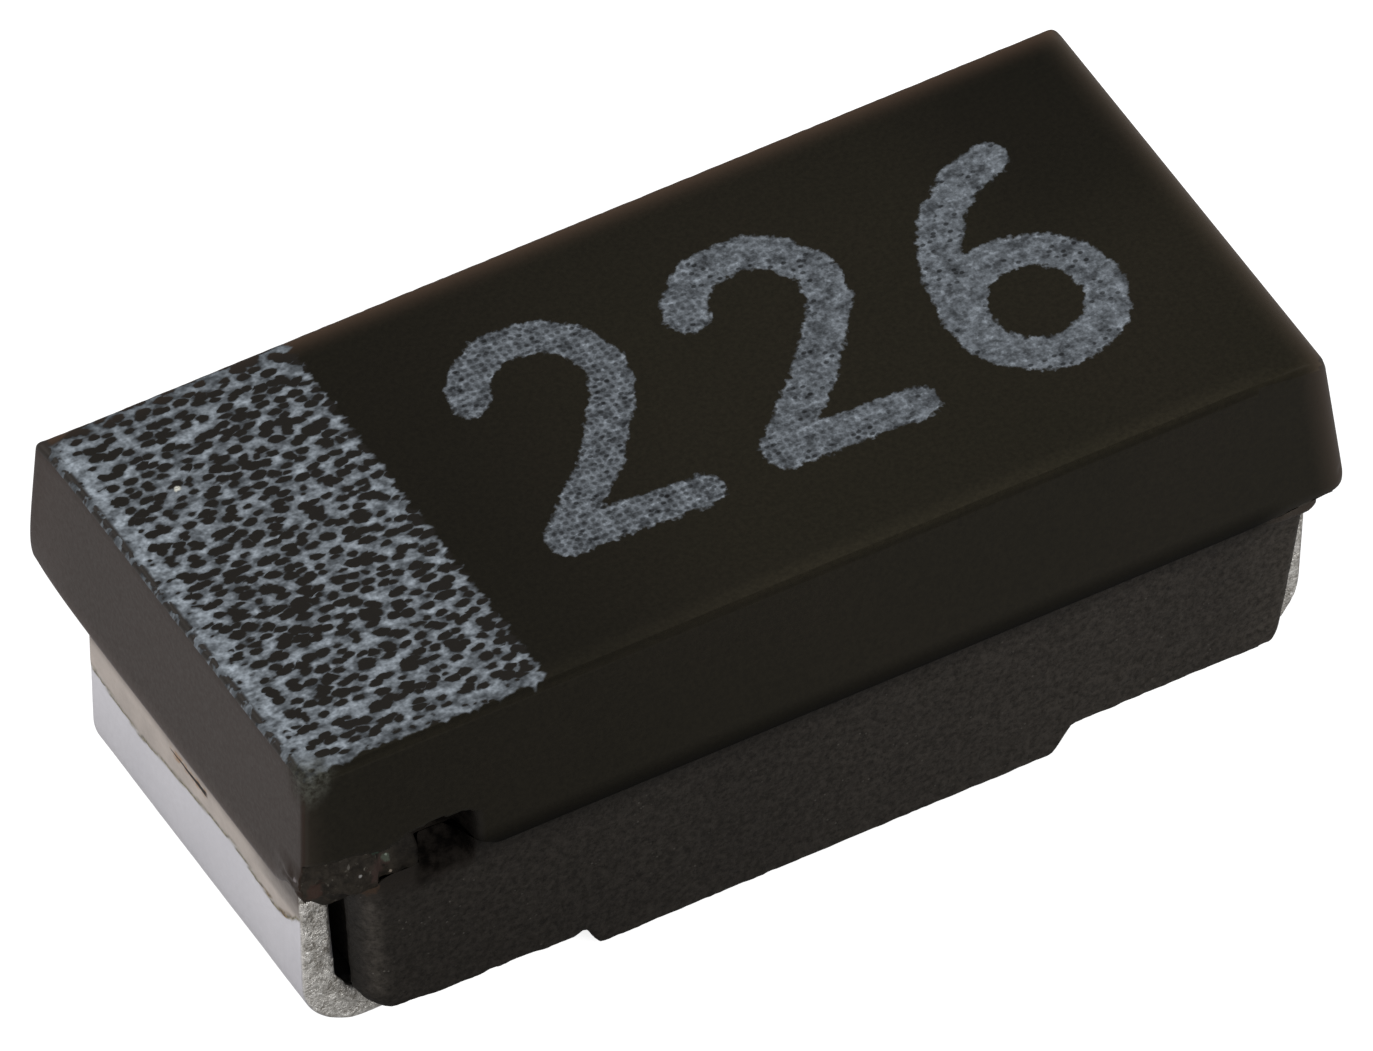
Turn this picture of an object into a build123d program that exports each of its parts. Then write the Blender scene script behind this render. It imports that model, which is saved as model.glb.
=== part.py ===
from build123d import *
import os

os.makedirs("parts", exist_ok=True)

# Moulded tantalum chip capacitor, low 3216 case.
# Frame: origin under the middle of the case on the solder plane, +X along the
# length towards the cathode, +Z up. Millimetres.

# ---- moulded case -----------------------------------------------------------
case_len = 3.20          # upper half at the parting plane
case_wid = 1.55
case_top = 1.155         # top face above the solder plane
parting_z = 0.682        # where the two halves of the mould met
top_len = 3.13           # the draft narrows the upper half towards the top
top_wid = 1.47
corner_r = 0.030         # upright corners
top_edge_r = 0.022       # rim of the top face

low_x0, low_x1 = -1.418, 1.515     # lower half at the parting plane
low_x0b, low_x1b = -1.375, 1.442   # and at the recess over the feet
low_wid = 1.490
low_widb = 1.398
low_corner_r = 0.090     # upright corners at the anode end
low_corner_r1 = 0.035    # and at the cathode end
recess_z = 0.105         # underside above the feet
low_edge_r = 0.030       # rim of that underside
block_x0, block_x1 = -0.714, 0.794     # middle block, at the recess
block_x0b, block_x1b = -0.660, 0.740   # and at its underside
block_z = 0.012          # underside of the middle block
block_widb = 1.382

gate_x0, gate_x1 = -1.230, -1.065  # hole where the gate resin broke away
gate_depth = 0.080
gate_z0, gate_z1 = 0.645, 0.817

# ---- lead frames ------------------------------------------------------------
lead_t = 0.090           # strip thickness
lead_wid = 1.180         # outside the case
tab_wid = 0.800          # inside the case
lead_exit_r = 0.065      # middle line of the bend at the case
lead_foot_r = 0.155      # middle line of the bend into the foot
tab_z = parting_z - lead_t / 2
foot_z = lead_t / 2
anode_x = -1.515 + lead_t / 2          # middle line of the upright strip
anode_foot_end = -0.775
cathode_x_top = 1.555                  # this strip leans in towards its foot
cathode_x_foot = 1.512
cathode_foot_end = 0.855

# ---- inside -----------------------------------------------------------------
core_z = 0.620           # middle height of the pellet
pellet_x0, pellet_x1 = -0.660, 0.860
pellet_wid, pellet_hgt = 0.880, 0.490
electrolyte_t = 0.025
graphite_t = 0.015
silver_t = 0.020
graphite_x0 = -0.660     # the outer coats stop short of the anode end
silver_x0 = -0.600
wire_d = 0.200
wire_x0, wire_x1 = -1.100, 0.450
washer_d = 0.440
washer_t = 0.070
weld_tab_z = core_z - wire_d / 2 + 0.010 - lead_t / 2   # wire is sunk 0.01 in its tab
weld_tab_end = -0.850
adhesive_t = 0.020
adhesive_x0, adhesive_x1 = 0.150, 0.850
adhesive_wid = 0.700
seat_end = 0.060
seat_rise_x = 1.040      # where the cathode tab goes down past the pellet

electrolyte_wid = pellet_wid + 2 * electrolyte_t
electrolyte_hgt = pellet_hgt + 2 * electrolyte_t
graphite_wid = electrolyte_wid + 2 * graphite_t
graphite_hgt = electrolyte_hgt + 2 * graphite_t
silver_wid = graphite_wid + 2 * silver_t
silver_hgt = graphite_hgt + 2 * silver_t
electrolyte_x0 = pellet_x0 - electrolyte_t
electrolyte_x1 = pellet_x1 + electrolyte_t
graphite_x1 = electrolyte_x1 + graphite_t
silver_x1 = graphite_x1 + silver_t
silver_z0 = core_z - silver_hgt / 2
seat_z = silver_z0 - adhesive_t - lead_t / 2

# ---- anode wire: tantalum rod, its right part inside the pellet --------------
with BuildPart() as anode_wire:
    with BuildSketch(Plane.YZ.offset(wire_x0)):
        with Locations((0, core_z)):
            Circle(wire_d / 2)
    extrude(amount=wire_x1 - wire_x0)
anode_wire.part.label = "anode_wire"

# ---- anode pellet: porous sintered tantalum block ----------------------------
with BuildPart() as anode_pellet:
    with BuildSketch(Plane.YZ.offset(pellet_x0)):
        with Locations((0, core_z)):
            Rectangle(pellet_wid, pellet_hgt)
    extrude(amount=pellet_x1 - pellet_x0)
    with BuildSketch(Plane.YZ.offset(pellet_x0)):
        with Locations((0, core_z)):
            Circle(wire_d / 2)
    extrude(amount=wire_x1 - pellet_x0, mode=Mode.SUBTRACT)
anode_pellet.part.label = "anode_pellet"

# ---- solid electrolyte: covers the whole pellet, open only round the wire ----
with BuildPart() as electrolyte_coat:
    with BuildSketch(Plane.YZ.offset(electrolyte_x0)):
        with Locations((0, core_z)):
            Rectangle(electrolyte_wid, electrolyte_hgt)
    extrude(amount=electrolyte_x1 - electrolyte_x0)
    with BuildSketch(Plane.YZ.offset(pellet_x0)):
        with Locations((0, core_z)):
            Rectangle(pellet_wid, pellet_hgt)
    extrude(amount=pellet_x1 - pellet_x0, mode=Mode.SUBTRACT)
    with BuildSketch(Plane.YZ.offset(electrolyte_x0)):
        with Locations((0, core_z)):
            Circle(wire_d / 2)
    extrude(amount=electrolyte_t, mode=Mode.SUBTRACT)
electrolyte_coat.part.label = "electrolyte_coat"

# ---- graphite: a sleeve closed at the cathode end ----------------------------
with BuildPart() as graphite_coat:
    with BuildSketch(Plane.YZ.offset(graphite_x0)):
        with Locations((0, core_z)):
            Rectangle(graphite_wid, graphite_hgt)
    extrude(amount=graphite_x1 - graphite_x0)
    with BuildSketch(Plane.YZ.offset(graphite_x0)):
        with Locations((0, core_z)):
            Rectangle(electrolyte_wid, electrolyte_hgt)
    extrude(amount=electrolyte_x1 - graphite_x0, mode=Mode.SUBTRACT)
graphite_coat.part.label = "graphite_coat"

# ---- silver paint over the graphite ------------------------------------------
with BuildPart() as silver_coat:
    with BuildSketch(Plane.YZ.offset(silver_x0)):
        with Locations((0, core_z)):
            Rectangle(silver_wid, silver_hgt)
    extrude(amount=silver_x1 - silver_x0)
    with BuildSketch(Plane.YZ.offset(silver_x0)):
        with Locations((0, core_z)):
            Rectangle(graphite_wid, graphite_hgt)
    extrude(amount=graphite_x1 - silver_x0, mode=Mode.SUBTRACT)
silver_coat.part.label = "silver_coat"

# ---- insulating washer on the wire, against the coated end of the pellet -----
with BuildPart() as insulating_washer:
    with BuildSketch(Plane.YZ.offset(electrolyte_x0 - washer_t)):
        with Locations((0, core_z)):
            Circle(washer_d / 2)
            Circle(wire_d / 2, mode=Mode.SUBTRACT)
    extrude(amount=washer_t)
insulating_washer.part.label = "insulating_washer"

# ---- conductive adhesive between the silver paint and the cathode seat -------
with BuildPart() as silver_adhesive:
    with BuildSketch(Plane.XY.offset(silver_z0 - adhesive_t)):
        with Locations(((adhesive_x0 + adhesive_x1) / 2, 0)):
            Rectangle(adhesive_x1 - adhesive_x0, adhesive_wid)
    extrude(amount=adhesive_t)
silver_adhesive.part.label = "silver_adhesive"

# ---- anode lead frame: weld tab, way out at the parting plane, foot ----------
with BuildPart() as anode_terminal:
    with BuildSketch(Plane.XZ):
        with BuildLine():
            FilletPolyline(
                (weld_tab_end, weld_tab_z),
                (-1.125, weld_tab_z),
                (-1.245, tab_z),
                (anode_x, tab_z),
                (anode_x, foot_z),
                (anode_foot_end, foot_z),
                radius=[0.050, 0.050, lead_exit_r, lead_foot_r],
            )
        trace(line_width=lead_t)
    extrude(amount=lead_wid / 2, both=True)
    # inside the case the strip is narrower
    with BuildSketch(Plane.XY.offset(0.300)):
        with Locations((-1.050, (lead_wid + tab_wid) / 4), (-1.050, -(lead_wid + tab_wid) / 4)):
            Rectangle(0.560, (lead_wid - tab_wid) / 2)
    extrude(amount=0.500, mode=Mode.SUBTRACT)
    # groove where the wire is welded in
    with BuildSketch(Plane.YZ.offset(wire_x0)):
        with Locations((0, core_z)):
            Circle(wire_d / 2)
    extrude(amount=wire_x1 - wire_x0, mode=Mode.SUBTRACT)
anode_terminal.part.label = "anode_terminal"

# ---- cathode lead frame: seat under the pellet, rise, way out, foot ----------
with BuildPart() as cathode_terminal:
    with BuildSketch(Plane.XZ):
        with BuildLine():
            FilletPolyline(
                (seat_end, seat_z),
                (seat_rise_x, seat_z),
                (seat_rise_x + 0.060, tab_z),
                (cathode_x_top, tab_z),
                (cathode_x_foot, foot_z),
                (cathode_foot_end, foot_z),
                radius=[0.060, 0.060, lead_exit_r, lead_foot_r],
            )
        trace(line_width=lead_t)
    extrude(amount=lead_wid / 2, both=True)
    with BuildSketch(Plane.XY.offset(0.150)):
        with Locations((0.700, (lead_wid + tab_wid) / 4), (0.700, -(lead_wid + tab_wid) / 4)):
            Rectangle(1.400, (lead_wid - tab_wid) / 2)
    extrude(amount=0.700, mode=Mode.SUBTRACT)
cathode_terminal.part.label = "cathode_terminal"

# ---- moulded case: one moulding, upper half overhanging the lower ------------
with BuildPart() as moulded_case:
    # upper half
    with BuildSketch(Plane.XY.offset(parting_z)):
        RectangleRounded(case_len, case_wid, corner_r)
    with BuildSketch(Plane.XY.offset(case_top)):
        RectangleRounded(top_len, top_wid, corner_r)
    loft()
    fillet(moulded_case.faces().sort_by(Axis.Z)[-1].edges(), top_edge_r)
    # lower half
    with BuildSketch(Plane.XY.offset(parting_z)) as low_top:
        with Locations(((low_x0 + low_x1) / 2, 0)):
            Rectangle(low_x1 - low_x0, low_wid)
        fillet(low_top.vertices().group_by(Axis.X)[0], low_corner_r)
        fillet(low_top.vertices().group_by(Axis.X)[-1], low_corner_r1)
    with BuildSketch(Plane.XY.offset(recess_z)) as low_bottom:
        with Locations(((low_x0b + low_x1b) / 2, 0)):
            Rectangle(low_x1b - low_x0b, low_widb)
        fillet(low_bottom.vertices().group_by(Axis.X)[0], low_corner_r)
        fillet(low_bottom.vertices().group_by(Axis.X)[-1], low_corner_r1)
    loft()
    fillet(moulded_case.faces().sort_by(Axis.Z)[0].edges(), low_edge_r)
    # middle block, a little clear of the solder plane
    with BuildSketch(Plane.XY.offset(recess_z)):
        with Locations(((block_x0 + block_x1) / 2, 0)):
            Rectangle(block_x1 - block_x0, low_widb)
    with BuildSketch(Plane.XY.offset(block_z)):
        with Locations(((block_x0b + block_x1b) / 2, 0)):
            Rectangle(block_x1b - block_x0b, block_widb)
    loft()
    # gate scar on the near side
    with BuildSketch(Plane.XZ.offset(case_wid / 2 - gate_depth)):
        with Locations(((gate_x0 + gate_x1) / 2, (gate_z0 + gate_z1) / 2)):
            Rectangle(gate_x1 - gate_x0, gate_z1 - gate_z0)
    extrude(amount=2 * gate_depth, mode=Mode.SUBTRACT)
    # the resin flowed round everything inside
    add(anode_terminal.part, mode=Mode.SUBTRACT)
    add(cathode_terminal.part, mode=Mode.SUBTRACT)
    add(anode_wire.part, mode=Mode.SUBTRACT)
    add(anode_pellet.part, mode=Mode.SUBTRACT)
    add(electrolyte_coat.part, mode=Mode.SUBTRACT)
    add(graphite_coat.part, mode=Mode.SUBTRACT)
    add(silver_coat.part, mode=Mode.SUBTRACT)
    add(insulating_washer.part, mode=Mode.SUBTRACT)
    add(silver_adhesive.part, mode=Mode.SUBTRACT)
moulded_case.part.label = "moulded_case"

export_step(moulded_case.part, "parts/moulded_case.step")
export_step(anode_terminal.part, "parts/anode_terminal.step")
export_step(cathode_terminal.part, "parts/cathode_terminal.step")
export_step(anode_pellet.part, "parts/anode_pellet.step")
export_step(anode_wire.part, "parts/anode_wire.step")
export_step(insulating_washer.part, "parts/insulating_washer.step")
export_step(electrolyte_coat.part, "parts/electrolyte_coat.step")
export_step(graphite_coat.part, "parts/graphite_coat.step")
export_step(silver_coat.part, "parts/silver_coat.step")
export_step(silver_adhesive.part, "parts/silver_adhesive.step")
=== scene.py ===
"""Looks of a small moulded tantalum chip capacitor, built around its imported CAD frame.

Shapes are worked out in millimetres and written to the meshes in metres.
"""

import math

import bpy
import numpy as np
from mathutils import Matrix, Vector


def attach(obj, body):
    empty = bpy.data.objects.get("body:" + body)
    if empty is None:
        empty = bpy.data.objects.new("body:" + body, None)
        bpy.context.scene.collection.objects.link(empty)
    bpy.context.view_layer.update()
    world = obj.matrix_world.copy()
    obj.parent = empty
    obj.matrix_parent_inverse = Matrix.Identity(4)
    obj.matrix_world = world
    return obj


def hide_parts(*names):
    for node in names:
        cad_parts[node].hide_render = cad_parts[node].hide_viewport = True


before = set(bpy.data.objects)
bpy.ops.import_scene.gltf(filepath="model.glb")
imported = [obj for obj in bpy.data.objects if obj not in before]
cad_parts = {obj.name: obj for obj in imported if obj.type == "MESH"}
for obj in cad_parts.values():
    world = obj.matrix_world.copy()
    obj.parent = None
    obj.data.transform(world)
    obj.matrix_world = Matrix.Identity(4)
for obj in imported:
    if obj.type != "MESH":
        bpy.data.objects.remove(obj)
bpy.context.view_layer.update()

MM = 0.001
BASE = 0.682  # height of the parting plane

# ---------------------------------------------------------------- noise


def _hash(ix, iy, iz, seed):
    h = (ix * 374761393 + iy * 668265263 + iz * 1440662683 + seed * 974634777) & 0xFFFFFFFF
    h = ((h ^ (h >> 13)) * 1274126177) & 0xFFFFFFFF
    h = h ^ (h >> 16)
    return (h & 0xFFFF) / 32767.5 - 1.0


def noise(p, size, seed=0):
    """Smooth value noise from -1 to 1; size is one cell in mm, a number or one for each axis."""
    q = np.asarray(p, float) / np.asarray(size, float)
    i = np.floor(q).astype(np.int64)
    f = q - i
    f = f * f * (3 - 2 * f)
    out = 0.0
    for dx in (0, 1):
        for dy in (0, 1):
            for dz in (0, 1):
                w = (
                    (f[:, 0] if dx else 1 - f[:, 0])
                    * (f[:, 1] if dy else 1 - f[:, 1])
                    * (f[:, 2] if dz else 1 - f[:, 2])
                )
                out = out + w * _hash(i[:, 0] + dx, i[:, 1] + dy, i[:, 2] + dz, seed)
    return out


def fbm(p, size, seed=0, octaves=3):
    total, amp, norm = 0.0, 1.0, 0.0
    for k in range(octaves):
        total = total + amp * noise(p, np.asarray(size, float) / 2**k, seed + 17 * k)
        norm += amp
        amp *= 0.55
    return total / norm


def step(a, b, x):
    """0 before a, 1 after b, smooth between; b may be less than a."""
    t = np.clip((x - a) / (b - a), 0, 1)
    return t * t * (3 - 2 * t)


# ---------------------------------------------------------------- rounded-rectangle rings

NC = 8  # segments in a corner arc, even


class Ring:
    """A closed loop round a rounded rectangle, and the grid that caps it."""

    def __init__(self, us, vs):
        us, vs, h = list(us), list(vs), NC // 2
        rows = []  # (a, b, angle of the outward direction)
        arc = 90.0 / NC
        for k in range(h):
            rows.append((0, 0, 225 + k * arc))
        rows += [(u, 0, 270) for u in us]
        rows += [(1, 0, 270 + k * arc) for k in range(1, NC)]
        rows += [(1, v, 360) for v in vs]
        rows += [(1, 1, 360 + k * arc) for k in range(1, NC)]
        rows += [(u, 1, 90) for u in reversed(us)]
        rows += [(0, 1, 90 + k * arc) for k in range(1, NC)]
        rows += [(0, v, 180) for v in reversed(vs)]
        for k in range(1, h):
            rows.append((0, 0, 180 + k * arc))
        self.a = np.array([r[0] for r in rows], float)
        self.b = np.array([r[1] for r in rows], float)
        t = np.radians([r[2] for r in rows])
        self.dx, self.dy = np.cos(t), np.sin(t)
        self.n = len(rows)
        self.nx, self.ny = len(us) + NC, len(vs) + NC

    def at(self, x0, x1, y0, y1, r):
        """The loop; r is one corner radius, or those of the near left, near right, far right and far left corners."""
        if isinstance(r, tuple):
            a, b = self.a, self.b
            r = (r[0] * (1 - a) + r[1] * a) * (1 - b) + (r[3] * (1 - a) + r[2] * a) * b
        x = (x0 + r) + (x1 - x0 - 2 * r) * self.a + r * self.dx
        y = (y0 + r) + (y1 - y0 - 2 * r) * self.b + r * self.dy
        return np.stack([x, y], 1)

    def cap(self, loop):
        """Grid (ny, nx, 3) whose border is the loop."""
        nx, ny, n = self.nx, self.ny, self.n
        near = loop[:nx]
        right = loop[nx - 1 : nx - 1 + ny]
        far = loop[nx - 1 + ny - 1 + np.arange(nx - 1, -1, -1)]
        left = loop[(2 * (nx - 1) + (ny - 1) + np.arange(ny - 1, -1, -1)) % n]
        u = np.linalg.norm(np.diff(near, axis=0), axis=1).cumsum()
        u = np.concatenate([[0], u / u[-1]])[None, :, None]
        v = np.linalg.norm(np.diff(right, axis=0), axis=1).cumsum()
        v = np.concatenate([[0], v / v[-1]])[:, None, None]
        return (
            (1 - v) * near[None]
            + v * far[None]
            + (1 - u) * left[:, None]
            + u * right[:, None]
            - (1 - u) * (1 - v) * near[0]
            - u * (1 - v) * near[-1]
            - (1 - u) * v * far[0]
            - u * v * far[-1]
        )

    def cap_index(self, base, inner):
        """Vertex numbers (ny, nx) of a cap: border ones from the loop that starts at base, others from inner on."""
        nx, ny, n = self.nx, self.ny, self.n
        g = np.zeros((ny, nx), np.int64)
        g[1:-1, 1:-1] = inner + np.arange((ny - 2) * (nx - 2)).reshape(ny - 2, nx - 2)
        g[0, :] = base + np.arange(nx)
        g[:, -1] = base + nx - 1 + np.arange(ny)
        g[-1, :] = base + nx - 1 + ny - 1 + np.arange(nx - 1, -1, -1)
        g[:, 0] = base + (2 * (nx - 1) + (ny - 1) + np.arange(ny - 1, -1, -1)) % n
        return g


def closed(ring, rows, first, last):
    """Vertices and quads of a closed skin: loops from first cap to last cap, in the order that faces out."""
    n, m = ring.n, len(rows)
    nx, ny = ring.nx, ring.ny
    inner = (nx - 2) * (ny - 2)
    verts = np.concatenate(
        [np.concatenate(rows), first[1:-1, 1:-1].reshape(-1, 3), last[1:-1, 1:-1].reshape(-1, 3)]
    )
    i = np.arange(n)
    j = (i + 1) % n
    quads = [np.stack([(r + 1) * n + i, (r + 1) * n + j, r * n + j, r * n + i], 1) for r in range(m - 1)]
    g = ring.cap_index(0, m * n)
    quads.append(np.stack([g[:-1, :-1], g[:-1, 1:], g[1:, 1:], g[1:, :-1]], -1).reshape(-1, 4))
    g = ring.cap_index((m - 1) * n, m * n + inner)
    quads.append(np.stack([g[:-1, :-1], g[1:, :-1], g[1:, 1:], g[:-1, 1:]], -1).reshape(-1, 4))
    return verts, np.concatenate(quads)


def normals(verts, quads):
    a, b, c, d = (verts[quads[:, k]] for k in range(4))
    f = np.cross(c - a, d - b)
    out = np.zeros_like(verts)
    for k in range(4):
        for ax in range(3):
            out[:, ax] += np.bincount(quads[:, k], f[:, ax], len(verts))
    return out / np.maximum(np.linalg.norm(out, axis=1), 1e-12)[:, None]


def make(name, verts, quads, materials, face_material=None, **attributes):
    mesh = bpy.data.meshes.new(name)
    mesh.from_pydata((verts * MM).tolist(), [], quads.tolist())
    mesh.polygons.foreach_set("use_smooth", np.ones(len(quads), bool))
    for m in materials:
        mesh.materials.append(m)
    if face_material is not None:
        mesh.polygons.foreach_set("material_index", face_material.astype(np.int32))
    for key, values in attributes.items():
        layer = mesh.attributes.new(key, "FLOAT", "POINT")
        layer.data.foreach_set("value", np.asarray(values, np.float32))
    mesh.update()
    mesh.validate()
    obj = bpy.data.objects.new(name, mesh)
    bpy.context.scene.collection.objects.link(obj)
    return obj


# ---------------------------------------------------------------- node helper


class Tree:
    """Builds one node material."""

    def __init__(self, name):
        self.material = bpy.data.materials.new(name)
        self.material.use_nodes = True
        self.t = self.material.node_tree
        self.bsdf = next(n for n in self.t.nodes if n.type == "BSDF_PRINCIPLED")
        self._mm = None

    def node(self, kind, **props):
        n = self.t.nodes.new(kind)
        for k, v in props.items():
            setattr(n, k, v)
        return n

    def put(self, value, socket):
        if isinstance(value, bpy.types.NodeSocket):
            self.t.links.new(value, socket)
        else:
            socket.default_value = value

    def math(self, op, a, b=None, c=None, clamp=False):
        n = self.node("ShaderNodeMath", operation=op, use_clamp=clamp)
        for k, v in enumerate((a, b, c)):
            if v is not None:
                self.put(v, n.inputs[k])
        return n.outputs[0]

    def add(self, *v):
        out = v[0]
        for w in v[1:]:
            out = self.math("ADD", out, w)
        return out

    def mul(self, *v):
        out = v[0]
        for w in v[1:]:
            out = self.math("MULTIPLY", out, w)
        return out

    def sub(self, a, b):
        return self.math("SUBTRACT", a, b)

    def step(self, x, a, b):
        """0 at a, 1 at b, smooth; a may be more than b."""
        n = self.node("ShaderNodeMapRange", interpolation_type="SMOOTHSTEP")
        self.put(x, n.inputs["Value"])
        if a < b:
            lo, hi, p, q = a, b, 0.0, 1.0
        else:
            lo, hi, p, q = b, a, 1.0, 0.0
        n.inputs["From Min"].default_value = lo
        n.inputs["From Max"].default_value = hi
        n.inputs["To Min"].default_value = p
        n.inputs["To Max"].default_value = q
        return n.outputs["Result"]

    def line(self, x, a, b, p, q):
        n = self.node("ShaderNodeMapRange", interpolation_type="LINEAR", clamp=True)
        self.put(x, n.inputs["Value"])
        for key, v in (("From Min", a), ("From Max", b), ("To Min", p), ("To Max", q)):
            n.inputs[key].default_value = v
        return n.outputs["Result"]

    def mm(self):
        """Object coordinates in mm."""
        if self._mm is None:
            c = self.node("ShaderNodeTexCoord")
            s = self.node("ShaderNodeVectorMath", operation="SCALE")
            self.t.links.new(c.outputs["Object"], s.inputs[0])
            s.inputs["Scale"].default_value = 1000.0
            self._mm = s.outputs[0]
        return self._mm

    def xyz(self, v=None):
        n = self.node("ShaderNodeSeparateXYZ")
        self.t.links.new(v or self.mm(), n.inputs[0])
        return n.outputs[0], n.outputs[1], n.outputs[2]

    def vec(self, x, y, z=0.0):
        n = self.node("ShaderNodeCombineXYZ")
        for k, v in enumerate((x, y, z)):
            self.put(v, n.inputs[k])
        return n.outputs[0]

    def stretch(self, sx, sy, sz, v=None):
        n = self.node("ShaderNodeVectorMath", operation="MULTIPLY")
        self.t.links.new(v or self.mm(), n.inputs[0])
        n.inputs[1].default_value = (sx, sy, sz)
        return n.outputs[0]

    def shift(self, v, by):
        n = self.node("ShaderNodeVectorMath", operation="ADD")
        self.t.links.new(v, n.inputs[0])
        self.put(by, n.inputs[1])
        return n.outputs[0]

    def noise(self, scale, v=None, detail=2.0, rough=0.55, warp=0.0, dims="3D", color=False):
        n = self.node("ShaderNodeTexNoise", noise_dimensions=dims)
        self.t.links.new(v or self.mm(), n.inputs["Vector"])
        n.inputs["Scale"].default_value = scale
        n.inputs["Detail"].default_value = detail
        n.inputs["Roughness"].default_value = rough
        n.inputs["Distortion"].default_value = warp
        return n.outputs["Color" if color else "Fac"]

    def voronoi(self, scale, v=None, feature="F1", random=1.0, out="Distance", smooth=None, dims="3D"):
        n = self.node("ShaderNodeTexVoronoi", feature=feature, voronoi_dimensions=dims)
        self.t.links.new(v or self.mm(), n.inputs["Vector"])
        n.inputs["Scale"].default_value = scale
        n.inputs["Randomness"].default_value = random
        if smooth is not None:
            n.inputs["Smoothness"].default_value = smooth
        return n.outputs[out]

    def mix(self, f, a, b):
        n = self.node("ShaderNodeMix", data_type="RGBA")
        self.put(f, n.inputs[0])
        for k, v in ((6, a), (7, b)):
            if not isinstance(v, bpy.types.NodeSocket):
                v = (*v, 1.0)
            self.put(v, n.inputs[k])
        return n.outputs[2]

    def blend(self, f, a, b):
        n = self.node("ShaderNodeMix", data_type="FLOAT")
        self.put(f, n.inputs[0])
        self.put(a, n.inputs[2])
        self.put(b, n.inputs[3])
        return n.outputs[0]

    def tint(self, color, amount):
        """color times a number."""
        n = self.node("ShaderNodeVectorMath", operation="SCALE")
        if isinstance(color, bpy.types.NodeSocket):
            self.t.links.new(color, n.inputs[0])
        else:
            n.inputs[0].default_value = color
        self.put(amount, n.inputs["Scale"])
        return n.outputs[0]

    def attr(self, name):
        n = self.node("ShaderNodeAttribute", attribute_name=name)
        return n.outputs["Fac"]

    def bump(self, height, distance, strength=1.0, below=None):
        n = self.node("ShaderNodeBump")
        n.inputs["Strength"].default_value = strength
        n.inputs["Distance"].default_value = distance
        self.put(height, n.inputs["Height"])
        if below is not None:
            self.t.links.new(below, n.inputs["Normal"])
        return n.outputs[0]

    def out(self, color=None, rough=None, metal=None, normal=None, **constants):
        for key, v in (("Base Color", color), ("Roughness", rough), ("Metallic", metal), ("Normal", normal)):
            if v is None:
                continue
            s = self.bsdf.inputs[key]
            if key == "Base Color" and not isinstance(v, bpy.types.NodeSocket):
                v = (*v, 1.0)
            self.put(v, s)
        for key, v in constants.items():
            self.bsdf.inputs[key.replace("_", " ")].default_value = v
        return self.material


# ---------------------------------------------------------------- case

UPPER = dict(x=1.600, right=1.624, y=0.775, top_x=1.565, top_right=1.585, top_y=0.735, top=1.155, edge=0.018, right_edge=0.070)
UPPER_R = (0.020, 0.058, 0.030, 0.016)  # corner radii: near left, near right, far right, far left
LOWER_R = (0.090, 0.035, 0.035, 0.090)
SCAR_TOP = np.array(
    [(-1.700, 0.172), (-1.583, 0.168), (-1.491, 0.148), (-1.444, 0.144), (-1.392, 0.128), (-1.341, 0.110)]
    + [(-1.297, 0.131), (-1.260, 0.141), (-1.221, 0.147), (-1.160, 0.146), (-1.093, 0.138), (-1.062, 0.118)]
)


def samples(stops):
    """Values from a list of (start, pitch), with the last start as the end."""
    out = []
    for (a, pitch), (b, _) in zip(stops, stops[1:]):
        k = max(1, round((b - a) / pitch))
        out += [a + (b - a) * i / k for i in range(k)]
    return np.array(out + [stops[-1][0]])


def underside(x):
    """Height of the lower half's underside, the middle standing lower than both ends."""
    return np.interp(x, [-0.720, -0.708, -0.664, -0.652, 0.734, 0.746, 0.788, 0.800], [0.105, 0.099, 0.016, 0.012, 0.012, 0.016, 0.099, 0.105])


def lower_outline(z):
    t = (BASE - z) / (BASE - 0.105)
    return -1.418 + 0.043 * t, 1.515 - 0.073 * t, -(0.745 - 0.046 * t), 0.745 - 0.046 * t


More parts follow.
